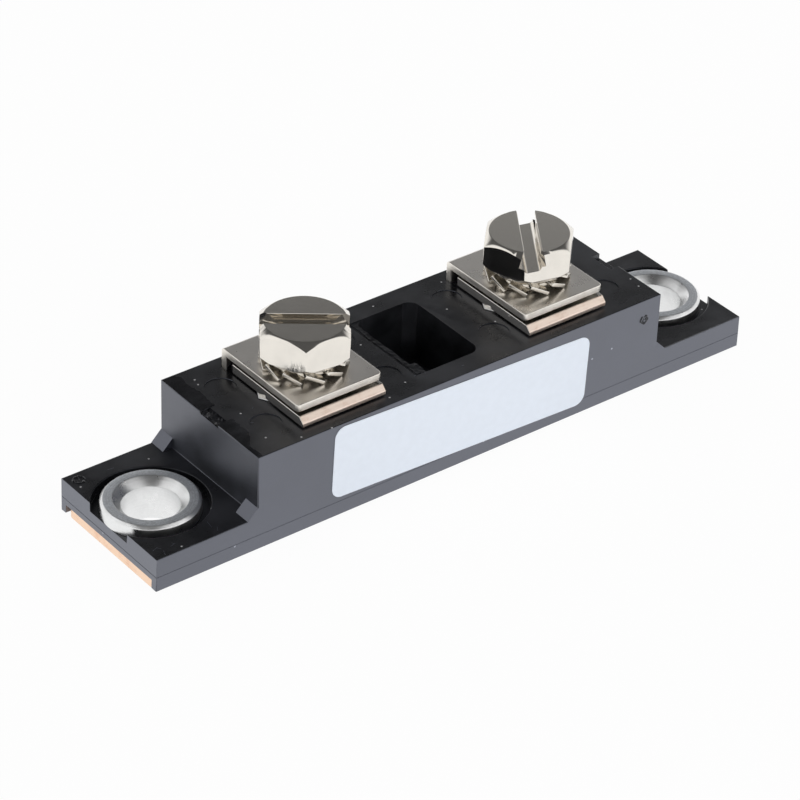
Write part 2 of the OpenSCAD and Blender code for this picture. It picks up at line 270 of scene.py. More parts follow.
@dataclass(frozen=True)
class MouldedBlack(Finish):
    """Glossy black moulding compound with clouded gloss, dust specks and one shallow pit."""

    gloss: float
    index: float
    coat: float
    level: bool = False
    colour: Colour = (0.0085, 0.0088, 0.0102)
    tint: Colour = (0.87, 0.90, 1.0)
    cloud: float = 0.12
    coat_index: float = 1.55
    clouds: Pattern = Pattern(150.0, 4.0, 0.6)
    smears: Pattern = Pattern(95.0, 5.0, 0.62)
    smear_stretch: Point = (0.55, 1.0, 0.9)
    smear_offset: Point = (0.02, 0.0, 0.0)
    smear_depth: float = 0.09 * MM
    grain: Pattern = Pattern(2600.0, 2.0)
    grain_depth: float = 0.005 * MM
    gloss_span: Span = (0.16, 0.42)
    shade_span: Span = (0.16, 0.4)
    shade: Span = (0.4, 2.2)
    speck: Colour = (0.42, 0.42, 0.43)
    speck_scale: float = 290.0
    speck_size: float = 0.036
    speck_chance: Span = (0.9, 0.7)
    pit: Dimple = Dimple((31.55, -10.15, 6.3), 0.9, 0.02)
    pit_wobble: float = 0.3 * MM

    def specks(self, graph: Graph) -> Socket:
        """Scatter dust by X and Y on level faces, and by run and height on walls.

        Args:
            graph: Graph of the material.

        Returns:
            1 on a speck and 0 beside it.
        """
        x, y, z = graph.node("SeparateXYZ", {"Vector": graph.place()}).outputs
        spread = {0: x, 1: y} if self.level else {0: graph.maths("ADD", x, y), 1: z}
        flat = graph.node("CombineXYZ", spread).outputs[0]
        inputs = {"Vector": flat, "Scale": self.speck_scale}
        cells = graph.node("TexVoronoi", inputs, voronoi_dimensions="2D")
        chance = graph.node("SeparateColor", {"Color": cells.outputs["Color"]}).outputs[0]
        near = graph.maths("LESS_THAN", cells.outputs["Distance"], self.speck_size)
        rare = graph.maths("GREATER_THAN", chance, self.speck_chance[self.level])
        return graph.maths("MULTIPLY", near, rare)

    def wire(self, graph: Graph) -> None:
        """Fill the material's node tree.

        Args:
            graph: Graph of the empty tree.
        """
        place = graph.place()
        clouds = graph.noise(place, self.clouds)
        smears = graph.noise(graph.mapped(self.smear_stretch, self.smear_offset), self.smears)
        patches = graph.maths("MULTIPLY", clouds, smears)
        roughness = graph.span(patches, *self.gloss_span, self.gloss, self.gloss + self.cloud)
        dark, light = (scaled(self.colour, factor) for factor in self.shade)
        body = graph.blend(graph.span(patches, *self.shade_span), dark, light)
        normal = graph.bump(graph.noise(place, self.grain), self.grain_depth, 0.6)
        normal = graph.bump(smears, self.smear_depth, 0.5, normal)
        away = graph.vector("DISTANCE", place, scaled(self.pit.place, MM))
        wobble = graph.maths("MULTIPLY_ADD", clouds, self.pit_wobble, away)
        pit = graph.span(wobble, 0.25 * self.pit.radius * MM, self.pit.radius * MM)
        normal = graph.bump(pit, self.pit.depth * MM, 1.0, normal)
        graph.surface(
            Base_Color=graph.blend(self.specks(graph), body, self.speck),
            Roughness=roughness,
            IOR=self.index,
            Specular_IOR_Level=0.5 + 0.5 * self.coat,
            Specular_Tint=self.tint,
            Coat_Weight=self.coat,
            Coat_IOR=self.coat_index,
            Coat_Roughness=self.gloss,
            Coat_Tint=self.tint,
            Normal=normal,
            Coat_Normal=normal,
        )


@dataclass(frozen=True)
class PlatedMetal(Finish):
    """Plated metal, bright or satin, with fine scuffs and at most one spot of tool chatter."""

    colour: Colour
    gloss: float
    scuff: float = 0.06
    wave: float = 0.004
    film: float = 0.0
    film_gloss: float = 0.6
    chatter: Dimple | None = None
    haze: Pattern = Pattern(420.0, 4.0, 0.6)
    haze_dim: float = 0.95
    gloss_span: Span = (0.3, 0.75)
    tint_span: Span = (0.3, 0.7)
    ripples: Pattern = Pattern(900.0, 2.0, 0.4)
    lines: Pattern = Pattern(5200.0, 2.0)
    line_stretch: Point = (1.0, 1.0, 0.08)

    def wire(self, graph: Graph) -> None:
        """Fill the material's node tree.

        Args:
            graph: Graph of the empty tree.
        """
        place = graph.place()
        haze = graph.noise(place, self.haze)
        roughness = graph.span(haze, *self.gloss_span, self.gloss, self.gloss + self.scuff)
        hazy = graph.span(haze, *self.tint_span)
        tint = graph.blend(hazy, self.colour, scaled(self.colour, self.haze_dim))
        normal = graph.bump(graph.noise(place, self.ripples), self.wave * MM, 0.5)
        if self.chatter is not None:
            away = graph.vector("DISTANCE", place, scaled(self.chatter.place, MM))
            mask = graph.span(away, self.chatter.radius * 0.1 * MM, self.chatter.radius * MM, 1.0, 0.0)
            lines = graph.noise(graph.mapped(self.line_stretch), self.lines)
            normal = graph.bump(graph.maths("MULTIPLY", lines, mask), self.chatter.depth * MM, 1.0, normal)
        graph.surface(Base_Color=tint, Metallic=1.0, Roughness=roughness, Normal=normal,
                      Coat_Weight=self.film, Coat_Roughness=self.film_gloss)


@dataclass(frozen=True)
class ShearedEdge(Finish):
    """Cut edge of sheet metal: rougher than its faces, with fine lines along the cut."""

    colour: Colour
    dark: Colour
    gloss: float
    relief: float
    scuff: float = 0.12
    stretch: Point = (0.05, 0.05, 1.0)
    lines: Pattern = Pattern(5600.0, 3.0, 0.6)
    spots: Pattern = Pattern(620.0, 4.0, 0.6)
    line_span: Span = (0.3, 0.75)
    spot_span: Span = (0.42, 0.78)
    gloss_span: Span = (0.3, 0.8)

    def wire(self, graph: Graph) -> None:
        """Fill the material's node tree.

        Args:
            graph: Graph of the empty tree.
        """
        lines = graph.noise(graph.mapped(self.stretch), self.lines)
        spots = graph.noise(graph.place(), self.spots)
        spotted = graph.span(spots, *self.spot_span)
        share = graph.maths("MULTIPLY", spotted, graph.span(lines, *self.line_span))
        normal = graph.bump(lines, self.relief * MM, 0.6)
        normal = graph.bump(spots, 2.0 * self.relief * MM, 0.4, normal)
        roughness = graph.span(lines, *self.gloss_span, self.gloss, self.gloss + self.scuff)
        tint = graph.blend(share, self.colour, self.dark)
        graph.surface(Base_Color=tint, Metallic=1.0, Roughness=roughness, Normal=normal)


@dataclass(frozen=True)
class TurnedAluminium(Finish):
    """Turned aluminium whose fine rings run round one bushing's axis."""

    axis_x: float
    colour: Colour = (0.88, 0.885, 0.885)
    gloss: float = 0.26
    relief: float = 0.014
    mottle: float = 0.96
    scuff: float = 0.14
    rings: Pattern = Pattern(5200.0, 3.0, 0.7)
    haze: Pattern = Pattern(520.0, 4.0, 0.6)
    haze_depth: float = 0.01 * MM
    haze_span: Span = (0.3, 0.7)
    grain: Pattern = Pattern(3800.0, 3.0, 0.6)
    mottle_span: Span = (0.15, 0.38)

    def wire(self, graph: Graph) -> None:
        """Fill the material's node tree.

        Args:
            graph: Graph of the empty tree.
        """
        x, y, z = graph.node("SeparateXYZ", {"Vector": graph.mapped(offset=(-self.axis_x, 0, 0))}).outputs
        flat = graph.node("CombineXYZ", {0: x, 1: y}).outputs[0]
        radius = graph.vector("LENGTH", flat)
        rings = graph.noise(graph.node("CombineXYZ", {0: radius, 1: z}).outputs[0], self.rings)
        haze = graph.noise(graph.place(), self.haze)
        grain = graph.noise(graph.place(), self.grain)
        normal = graph.bump(rings, self.relief * MM, 0.8)
        normal = graph.bump(haze, self.haze_depth, 0.4, normal)
        normal = graph.bump(grain, 0.5 * self.relief * MM, 0.7, normal)
        roughness = graph.span(haze, *self.haze_span, self.gloss, self.gloss + self.scuff)
        mottle = graph.span(graph.maths("MULTIPLY", grain, rings), *self.mottle_span)
        tint = graph.blend(mottle, scaled(self.colour, self.mottle), self.colour)
        graph.surface(Base_Color=tint, Metallic=1.0, Roughness=roughness, Normal=normal)


@dataclass(frozen=True)
class LabelFilm(Finish):
    """Satin white film with a faint fibre."""

    colour: Colour = (0.80, 0.855, 0.94)
    dim: float = 0.975
    gloss: float = 0.5
    fibre: Pattern = Pattern(900.0, 4.0, 0.6)
    fibre_span: Span = (0.3, 0.7)
    fibre_depth: float = 0.004 * MM

    def wire(self, graph: Graph) -> None:
        """Fill the material's node tree.

        Args:
            graph: Graph of the empty tree.
        """
        fibre = graph.noise(graph.place(), self.fibre)
        tint = graph.blend(graph.span(fibre, *self.fibre_span), self.colour, scaled(self.colour, self.dim))
        normal = graph.bump(fibre, self.fibre_depth, 0.5)
        graph.surface(Base_Color=tint, Roughness=self.gloss, Normal=normal)


@dataclass(frozen=True)
class PlainMatter(Finish):
    """Matter of the pieces inside the housing, with a light mottle."""

    colour: Colour
    gloss: float
    metallic: float = 0.0
    dim: float = 0.85
    mottle: Pattern = Pattern(700.0)

    def wire(self, graph: Graph) -> None:
        """Fill the material's node tree.

        Args:
            graph: Graph of the empty tree.
        """
        mottle = graph.noise(graph.place(), self.mottle)
        tint = graph.blend(mottle, self.colour, scaled(self.colour, self.dim))
        graph.surface(Base_Color=tint, Roughness=self.gloss, Metallic=self.metallic)


@dataclass(frozen=True)
class FloorWhite(Finish):
    """White floor that glows to the eye, so that only a soft shadow of the module is left."""

    share: float = 0.96
    matt: Colour = (0.86, 0.86, 0.86)

    def wire(self, graph: Graph) -> None:
        """Fill the material's node tree.

        Args:
            graph: Graph of the empty tree.
        """
        rays = graph.node("LightPath").outputs
        seen = graph.maths("MAXIMUM", rays["Is Camera Ray"], rays["Is Glossy Ray"])
        seen = graph.maths("MAXIMUM", seen, rays["Is Transmission Ray"])
        share = graph.maths("MULTIPLY", seen, self.share)
        matt = graph.node("BsdfDiffuse", {"Color": opaque(self.matt)})
        white = graph.node("Emission", {"Color": WHITE, "Strength": 1.0})
        mixed = graph.node("MixShader", {0: share, 1: matt.outputs[0], 2: white.outputs[0]})
        graph.node("OutputMaterial", {"Surface": mixed.outputs[0]})


def dress(piece: bpy.types.Object, material: Material) -> None:
    """Give a piece one material in place of any that it has."""
    piece.data.materials.clear()
    piece.data.materials.append(material)


def merge_flats(bm: BMesh) -> None:
    """Join the faces that lie in one plane."""
    bmesh.ops.dissolve_limit(bm, angle_limit=math.radians(FLAT_DEG), verts=bm.verts, edges=bm.edges)


def merged_copy(node: bpy.types.Object, weld: float = 0.002 * MM) -> BMesh:
    """Copy a frame node's loose triangles into clean faces.

    Args:
        node: Frame object to copy.
        weld: Distance within which corners are one.

    Returns:
        A mesh with doubles merged and flat triangles joined.
    """
    bm = bmesh.new()
    bm.from_mesh(node.data)
    bmesh.ops.remove_doubles(bm, verts=bm.verts, dist=weld)
    merge_flats(bm)
    for face in bm.faces:
        face.material_index = 0
    return bm


def round_edges(bm: BMesh, width: float, least_deg: float = 24.0, segments: int = 3,
                shortest: float = 0.0, keep: Callable[[bmesh.types.BMEdge], bool] | None = None) -> None:
    """Round every sharp edge.

    Args:
        bm: Mesh to change.
        width: Width of the rounding in metres.
        least_deg: Least angle between two faces that counts as sharp.
        segments: Steps across the rounding.
        shortest: Shorter edges stay sharp.
        keep: Says whether an edge is rounded.
    """
    least = math.radians(least_deg)
    sharp = [e for e in bm.edges if len(e.link_faces) == 2 and e.calc_face_angle() > least]
    sharp = [e for e in sharp if e.calc_length() > shortest and (keep is None or keep(e))]
    bmesh.ops.bevel(bm, geom=sharp, offset=width, offset_type="OFFSET", affect="EDGES", segments=segments,
                    profile=0.5, material=-1, clamp_overlap=False)


def paint(bm: BMesh, number: int, test: Callable[[bmesh.types.BMFace], bool]) -> None:
    """Give the faces that pass a test another material slot.

    Args:
        bm: Mesh to change.
        number: Slot number.
        test: Says whether a face is one of them.
    """
    for face in bm.faces:
        if test(face):
            face.material_index = number


def combine(bm: BMesh, tool: BMesh, operation: str) -> BMesh:
    """Cut one solid by another.

    Args:
        bm: Mesh to cut; it is freed.
        tool: Mesh that cuts it; it is freed.
        operation: Blender's name of the boolean operation.

    Returns:
        The mesh that is left.
    """
    objects = []
    for part, name in ((bm, "cut_piece"), (tool, "cutting_tool")):
        mesh = bpy.data.meshes.new(name)
        part.to_mesh(mesh)
        part.free()
        objects.append(bpy.data.objects.new(name, mesh))
        bpy.context.scene.collection.objects.link(objects[-1])
    cut = objects[0].modifiers.new("cut", "BOOLEAN")
    cut.operation = operation
    cut.solver = "EXACT"
    cut.object = objects[1]
    left = bmesh.new()
    left.from_object(objects[0], bpy.context.evaluated_depsgraph_get())
    for item in objects:
        bpy.data.objects.remove(item)
    return left


def join(parts: Sequence[BMesh]) -> BMesh:
    """Put several meshes into one.

    Args:
        parts: Meshes to join; they are freed.

    Returns:
        One mesh of all of them.
    """
    whole = bmesh.new()
    for part in parts:
        mesh = bpy.data.meshes.new("joined")
        part.to_mesh(mesh)
        part.free()
        whole.from_mesh(mesh)
        bpy.data.meshes.remove(mesh)
    return whole


def settle_order(bm: BMesh) -> None:
    """Sort corners, edges and faces by place, as an operator may leave their order to chance.

    Args:
        bm: Mesh to sort.
    """
    bm.verts.sort(key=lambda vert: vert.co.dot(SORT_SLANT))
    bm.edges.sort(key=lambda edge: (edge.verts[0].co + edge.verts[1].co).dot(SORT_SLANT))
    bm.faces.sort(key=lambda face: face.calc_center_median().dot(SORT_SLANT))


def spin_profile(profile: Sequence[Span], axis: Vector, steps: int, closed: bool) -> BMesh:
    """Turn a half section round an upright axis.

    Args:
        profile: Radius and height of each corner, from the axis' own height.
        axis: Place of the axis.
        steps: Facets round it.
        closed: Whether the last corner joins the first.

    Returns:
        The turned solid.
    """
    bm = bmesh.new()
    corners = [bm.verts.new(axis + Vector((r, 0.0, z))) for r, z in profile]
    pairs = list(zip(corners, corners[1:]))
    if closed:
        pairs.append((corners[-1], corners[0]))
    edges = [bm.edges.new(pair) for pair in pairs]
    bmesh.ops.spin(bm, geom=corners + edges, cent=axis, axis=(0.0, 0.0, 1.0), angle=math.tau, steps=steps,
                   use_merge=True)
    bmesh.ops.remove_doubles(bm, verts=bm.verts, dist=0.001 * MM)
    settle_order(bm)
    bmesh.ops.recalc_face_normals(bm, faces=bm.faces)
    return bm


def add_bar(bm: BMesh, middle: Sequence[float], size: Sequence[float], turn_deg: float = 0.0) -> None:
    """Add one straight bar, with its size along its own axes and its turn about Z."""
    place = Matrix.Translation(middle) @ Matrix.Rotation(math.radians(turn_deg), 4, "Z")
    bmesh.ops.create_cube(bm, size=1.0, matrix=place @ Matrix.Diagonal((*size, 1.0)))


def add_rough_patch(bm: BMesh, middle: Vector, size: Vector, cells: tuple[int, int],
                    lift: Callable[[Vector], Vector], number: int, turn: Matrix | None = None) -> None:
    """Add a thin lumpy skin that lies on a level face, or on another once turned.

    Args:
        bm: Mesh to add it to.
        middle: Middle of the patch.
        size: Length, width and thickness of the skin.
        cells: Number of cells along the length and the width.
        lift: Move of a point of the skin, from its place.
        number: Material slot of the skin.
        turn: Turn of the whole skin about its middle.
    """
    before = set(bm.verts)
    matrix = Matrix.Translation(middle) @ Matrix.Diagonal((size.x, size.y, 1.0, 1.0))
    made = bmesh.ops.create_grid(bm, x_segments=cells[0], y_segments=cells[1], size=0.5, matrix=matrix)
    for vert in made["verts"]:
        vert.co += lift(vert.co)
    faces = list(dict.fromkeys(face for vert in made["verts"] for face in vert.link_faces))
    for face in faces:
        face.material_index = number
    bmesh.ops.solidify(bm, geom=faces, thickness=size.z)
    if turn is not None:
        added = [vert for vert in bm.verts if vert not in before]
        bmesh.ops.rotate(bm, cent=middle, matrix=turn, verts=added)


def finish_piece(bm: BMesh, node: str, slot: str, *materials: Material) -> bpy.types.Object:
    """Turn a mesh into a piece that stands for a frame node.

    Args:
        bm: Mesh in the frame's own place; it is freed.
        node: Frame node that the piece replaces and takes its name from.
        slot: Name of a material slot; not used.
        materials: Materials, in slot order.

    Returns:
        The new object.
    """
    name = node + "_look"
    mesh = bpy.data.meshes.new(name)
    for material in materials:
        mesh.materials.append(material)
    bm.to_mesh(mesh)
    bm.free()
    mesh.shade_smooth()
    mesh.set_sharp_from_angle(angle=math.radians(SHARP_DEG))
    piece = bpy.data.objects.new(name, mesh)
    bpy.context.scene.collection.objects.link(piece)
    weighted = piece.modifiers.new("even_shading", "WEIGHTED_NORMAL")
    weighted.keep_sharp = True
    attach(piece, "root")
    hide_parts(node)
    LOG.info("%s: %d faces", name, len(mesh.polygons))
    return piece


@dataclass(frozen=True)
class Zone:
    """Box in millimetres that stands on both sides of X and of Y."""

    x: Span
    y: Span
    z: Span

    def holds(self, place: Vector) -> bool:
        """Whether a place lies in the box, on any side."""
        sides = ((abs(place.x), self.x), (abs(place.y), self.y), (place.z, self.z))
        return all(low * MM <= value < high * MM for value, (low, high) in sides)

    def takes(self, face: bmesh.types.BMFace) -> bool:
        """Whether the middle of a face lies in the box."""
        return self.holds(face.calc_center_median())


@dataclass(frozen=True)
class Pock:
    """Rough round mark of the mould, in millimetres, with its face's turn about X from level."""

    middle: Point
    radius: float
    tilt_deg: float
    rise: float
    face: Face
    ring_at: float = 0.72
    ring_width: float = 0.22
    rim: float = 0.95
    rim_drop: float = 0.05
    lump: float = 0.09
    lump_waves: Point = (2100.0, 4300.0, 0.7)
    skin: float = 0.05
    cells: tuple[int, int] = (26, 26)

    def add(self, bm: BMesh) -> None:
        """Lay the mark on the housing.

        Args:
            bm: Housing mesh.
        """
        middle = Vector(self.middle) * MM
        radius = self.radius * MM

        def lift(place: Vector) -> Vector:
            """Raise a point into a ragged ring.

            Args:
                place: Place of the point.

            Returns:
                Its move.
            """
            away = (place.xy - middle.xy).length / radius
            ring = max(0.0, 1.0 - abs(away - self.ring_at) / self.ring_width)
            rough = self.rise * ring + self.lump * layered(place, self.lump_waves)
            return Vector((0.0, 0.0, (rough if away < self.rim else -self.rim_drop) * MM))

        size = Vector((2 * radius, 2 * radius, self.skin * MM))
        turn = Matrix.Rotation(math.radians(self.tilt_deg), 3, "X")
        add_rough_patch(bm, middle, size, self.cells, lift, self.face, turn)


@dataclass(frozen=True)
class Scuff:
    """Short raised burr on a level face, in millimetres, with its turn about Z."""

    middle: Point
    length: float
    turn_deg: float
    width: float = 0.07
    height: float = 0.05

    def add(self, bm: BMesh) -> None:
        """Lay the burr on the housing."""
        size = scaled((self.length, self.width, self.height), MM)
        add_bar(bm, Vector(self.middle) * MM, size, self.turn_deg)


@dataclass
class Moulding:
    """Black housing with its parting line, torn gate, flash and small marks."""

    nodes: Nodes
    weld: float = 0.012 * MM
    edge: float = 0.04 * MM
    edge_deg: float = 28.0
    shortest: float = 0.3 * MM
    line_z: float = 2.48 * MM
    line_h: float = 0.1 * MM
    line_proud: float = 0.03 * MM
    end_lean: float = 0.06 * MM
    top_z: float = 13.8 * MM
    land_x: float = -31.45 * MM
    land_l: float = 2.1 * MM
    land_rise: float = 0.05 * MM
    land_proud: float = 0.01 * MM
    land_skin: float = 0.06 * MM
    land_near: float = 7.6 * MM
    land_far: float = 11.2 * MM
    land_taper: float = 2.2 * MM
    land_least: float = 0.22
    land_ragged: float = 0.35 * MM
    land_waves: Point = (450.0, 2300.0, 0.5)
    land_cells: tuple[int, int] = (4, 90)
    land_runs: tuple[Span, ...] = ((-9.9 * MM, -1.7 * MM), (1.9 * MM, 9.9 * MM))
    scar_place: Vector = Vector((-30.75 * MM, 0.1 * MM, 13.6 * MM))
    scar_size: Vector = Vector((1.5, 3.7, 0.1)) * MM
    scar_lump: float = 0.3 * MM
    scar_sway: float = 0.15 * MM
    scar_waves: Point = (1300.0, 3900.0, 0.7)
    sway_wave: float = 1700.0
    scar_cells: tuple[int, int] = (22, 50)
    flash_place: Vector = Vector((-4.2, -5.6, 13.66)) * MM
    flash_size: Vector = Vector((0.7, 2.4, 0.08)) * MM
    flash_cells: tuple[int, int] = (6, 18)
    rag_place: Vector = Vector((-4.92, 0.0, 13.74)) * MM
    rag_size: Vector = Vector((0.62, 13.4, 0.08)) * MM
    rag_cells: tuple[int, int] = (6, 70)
    crumple: float = 0.12
    crumple_waves: Span = (700.0, 1900.0)
    gussets: Zone = Zone((30.8, 36.0), (7.4, FAR), ANY)
    pocket: Zone = Zone((0.0, 6.2), (0.0, 8.5), (4.0, 13.76))
    block_end: Zone = Zone((30.8, 32.2), ANY, (4.0, FAR))
    notch: Zone = Zone((29.3, FAR), (0.0, 2.3), (13.1, FAR))
    recess_x: float = 40.005 * MM
    recess_r: float = 7.4 * MM
    recess_z: float = 3.5 * MM
    marks: tuple[Pock | Scuff, ...] = (
        Pock((-44.6, 8.6, 5.1), 0.95, 0.0, 0.09, Face.TOP),
        Pock((28.9, -10.165, 10.9), 0.75, 90.0, 0.03, Face.TORN),
        Scuff((-45.0, -8.2, 5.1), 0.9, 20.0),
        Scuff((-44.6, -8.4, 5.1), 0.6, -35.0),
        Scuff((-44.5, -9.4, 5.1), 0.8, 70.0),
        Scuff((-42.9, -8.7, 5.1), 0.7, 15.0),
        Scuff((-42.6, -8.5, 5.1), 0.5, -50.0),
        Scuff((-37.0, -7.9, 5.1), 1.3, 80.0),
        Scuff((-36.7, -9.1, 5.1), 0.8, 60.0),
        Scuff((-40.2, 8.3, 5.1), 0.8, -10.0),
        Scuff((-26.0, -1.2, 13.8), 0.4, 40.0),
        Scuff((-27.9, -3.7, 13.8), 0.4, -20.0),
        Scuff((-5.7, -6.9, 13.8), 0.4, 10.0),
        Scuff((-4.3, -7.1, 13.8), 0.4, 60.0),
        Scuff((0.4, -8.5, 13.8), 0.5, 0.0),
    )
    # Painted light and shade: the walls take a higher index and a full coat, and the block ends a lesser
    # coat, so that they read brighter than the tops (painted sheen). The pocket and its rags take a low
    # index and high roughness so that they read darker (painted shade).
    finishes: tuple[MouldedBlack, ...] = (
        MouldedBlack("moulded_wall_painted_sheen", 0.34, 1.66, 1.0),
        MouldedBlack("moulded_top", 0.26, 1.5, 0.0, True),
        MouldedBlack("moulded_end", 0.40, 1.66, 0.65),
        MouldedBlack("torn_land", 0.16, 1.46, 0.0, True),
        MouldedBlack("pocket_painted_shade", 0.5, 1.28, 0.0, True),
    )

    def in_recess(self, face: bmesh.types.BMFace) -> bool:
        """Whether a face lies in the round recess about a bushing and looks towards its axis.

        Args:
            face: Face to test.

        Returns:
            True in either recess.
        """
        place = face.calc_center_median()
        axis = Vector((math.copysign(self.recess_x, place.x), 0.0, place.z))
        inward = (axis - place).dot(face.normal) > 0.0
        return inward and (axis - place).length < self.recess_r and place.z > self.recess_z

    def add_parting_line(self, bm: BMesh) -> None:
        """Run the mould's parting line round the four walls.

        Args:
            bm: Housing mesh.
        """
        low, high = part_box("housing")
        thick = 2 * self.line_proud
        for y in (low.y, high.y):
            add_bar(bm, (0, y, self.line_z), (high.x - low.x - 4 * self.end_lean, thick, self.line_h))
        for x in (low.x + self.end_lean, high.x - self.end_lean):
            add_bar(bm, (x, 0, self.line_z), (thick, high.y - low.y - 4 * self.end_lean, self.line_h))

    def land_width(self, y: float) -> float:
        """Width of the torn land at one place along the edge.

        Args:
            y: Place along the edge.

        Returns:
            The width, narrower near both corners of the block.
        """
        near = min(1.0, max(0.0, (y + self.land_near) / self.land_taper))
        far = min(1.0, max(0.0, (self.land_far - y) / self.land_taper))
        return self.land_l * (self.land_least + (1.0 - self.land_least) * min(near, far))

    def add_gate_land(self, bm: BMesh) -> None:
        """Lay the torn land on both sides of the near gate, with a ragged inner edge.

        Args:
            bm: Housing mesh.
        """
        def lift(place: Vector) -> Vector:
            """Draw a point out to the ragged edge.

            Args:
                place: Place of the point.

            Returns:
                Its move.
            """
            share = (place.x - self.land_x) / self.land_l
            ragged = layered(place, self.land_waves) * self.land_ragged * share
            run = share * self.land_width(place.y) + ragged + self.land_x - place.x
            return Vector((run, 0.0, self.land_rise * share + self.land_proud))

        for near_y, far_y in self.land_runs:
            middle = Vector((self.land_x + self.land_l / 2, (near_y + far_y) / 2, self.top_z))
            size = Vector((self.land_l, far_y - near_y, self.land_skin))
            add_rough_patch(bm, middle, size, self.land_cells, lift, Face.TORN)

    def add_gate_scar(self, bm: BMesh) -> None:
        """Fill the near gate notch with torn lumps.

        Args:
            bm: Housing mesh.
        """
        def lift(place: Vector) -> Vector:
            """Tear a point up or down."""
            sway = self.scar_sway * noise.noise(place * self.sway_wave)
            return Vector((sway, 0.0, layered(place, self.scar_waves) * self.scar_lump))

        add_rough_patch(bm, self.scar_place, self.scar_size, self.scar_cells, lift, Face.TORN)

    def add_flash(self, bm: BMesh) -> None:
        """Leave rags of flash at the pocket's corner and along its step.

        Args:
            bm: Housing mesh.
        """
        def lift(place: Vector) -> Vector:
            """Crumple a point of a rag."""
            across, up = (noise.noise(place * wave) for wave in self.crumple_waves)
            return Vector((across, 0.0, up)) * self.crumple * MM

        add_rough_patch(bm, self.flash_place, self.flash_size, self.flash_cells, lift, Face.POCKET)
        add_rough_patch(bm, self.rag_place, self.rag_size, self.rag_cells, lift, Face.POCKET)

    def build(self) -> None:
        """Make and dress the housing."""
        bm = merged_copy(self.nodes["housing"], self.weld)
        paint(bm, Face.TOP, lambda face: face.normal.z > 0.8)
        # Painted shade: the recess walls take the duller top finish, and the pocket its own dull finish,
        # so that both read darker than the other walls.
        paint(bm, Face.TOP, self.in_recess)
        paint(bm, Face.POCKET, self.pocket.takes)
        paint(bm, Face.END, lambda face: abs(face.normal.x) > 0.7 and self.block_end.takes(face))
        paint(bm, Face.TORN, self.notch.takes)
        round_edges(bm, self.edge, self.edge_deg, 2, self.shortest,
                    lambda edge: not any(self.gussets.holds(vert.co) for vert in edge.verts))
        self.add_parting_line(bm)
        self.add_gate_land(bm)
        self.add_gate_scar(bm)
        self.add_flash(bm)
        for mark in self.marks:
            mark.add(bm)
        looks = [finish.make() for finish in self.finishes]
        piece = finish_piece(bm, "housing", "housing_plastic", *looks)
        for polygon in piece.data.polygons:
            sloping = abs(polygon.normal.z - math.sqrt(0.5)) < 0.05
            if sloping and self.gussets.holds(polygon.center):
                polygon.use_smooth = False


@dataclass
class Base:
    """Copper base plate and the adhesive that holds it."""

    nodes: Nodes
    edge: float = 0.18 * MM

    def build(self) -> None:
        """Make and dress the base."""
        bm = merged_copy(self.nodes["base_plate"])
        round_edges(bm, self.edge)
        copper = ShearedEdge("bare_copper", (0.99, 0.74, 0.56), (0.80, 0.44, 0.28), 0.4, 0.05)
        finish_piece(bm, "base_plate", "bare_copper", copper.make())
        dress(self.nodes["base_seal"], PlainMatter("adhesive", (0.05, 0.045, 0.04), 0.6).make())


@dataclass
class Bushing:
    """Turned sleeve with a headed top and a countersunk bore."""

    side: Side
    bore_r: float = 3.6 * MM
    spigot_r: float = 5.0 * MM
    head_low: float = 3.85 * MM
    chamfer: float = 0.38 * MM
    sink_r: float = 4.63 * MM
    sink_depth: float = 1.0 * MM
    edge: float = 0.06 * MM
    steps: int = 160

    def profile(self, head_r: float, top: float) -> list[Span]:
        """Half section from the foot of the bore, outwards and up.

        Args:
            head_r: Radius of the head.
            top: Height of the top face.

        Returns:
            Radius and height of each corner.
        """
        return [
            (self.bore_r, 0.0),
            (self.spigot_r, 0.0),
            (self.spigot_r, self.head_low),
            (head_r, self.head_low),
            (head_r, top - self.chamfer),
            (head_r - self.chamfer, top),
            (self.sink_r, top),
            (self.bore_r, top - self.sink_depth),
        ]

    def build(self) -> None:
        """Turn and dress the bushing."""
        name = "mounting_bushing_" + self.side.suffix
        low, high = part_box(name)
        axis_x = (low.x + high.x) / 2
        profile = self.profile((high.x - low.x) / 2, high.z)
        bm = spin_profile(profile, Vector((axis_x, 0.0, 0.0)), self.steps, True)
        paint(bm, 1, lambda face: face.normal.z > 0.9)
        round_edges(bm, self.edge)
        turned = TurnedAluminium("turned_aluminium", axis_x).make()
        # Top face: a faced cut with its own roughness, deeper rings and stronger mottle, and a paler,
        # bluer colour than the turned wall as a painted sheen.
        faced = TurnedAluminium("faced_aluminium_painted_sheen", axis_x, (0.91, 0.94, 0.98), 0.52, 0.05, 0.8).make()
        finish_piece(bm, name, "turned_aluminium", turned, faced)


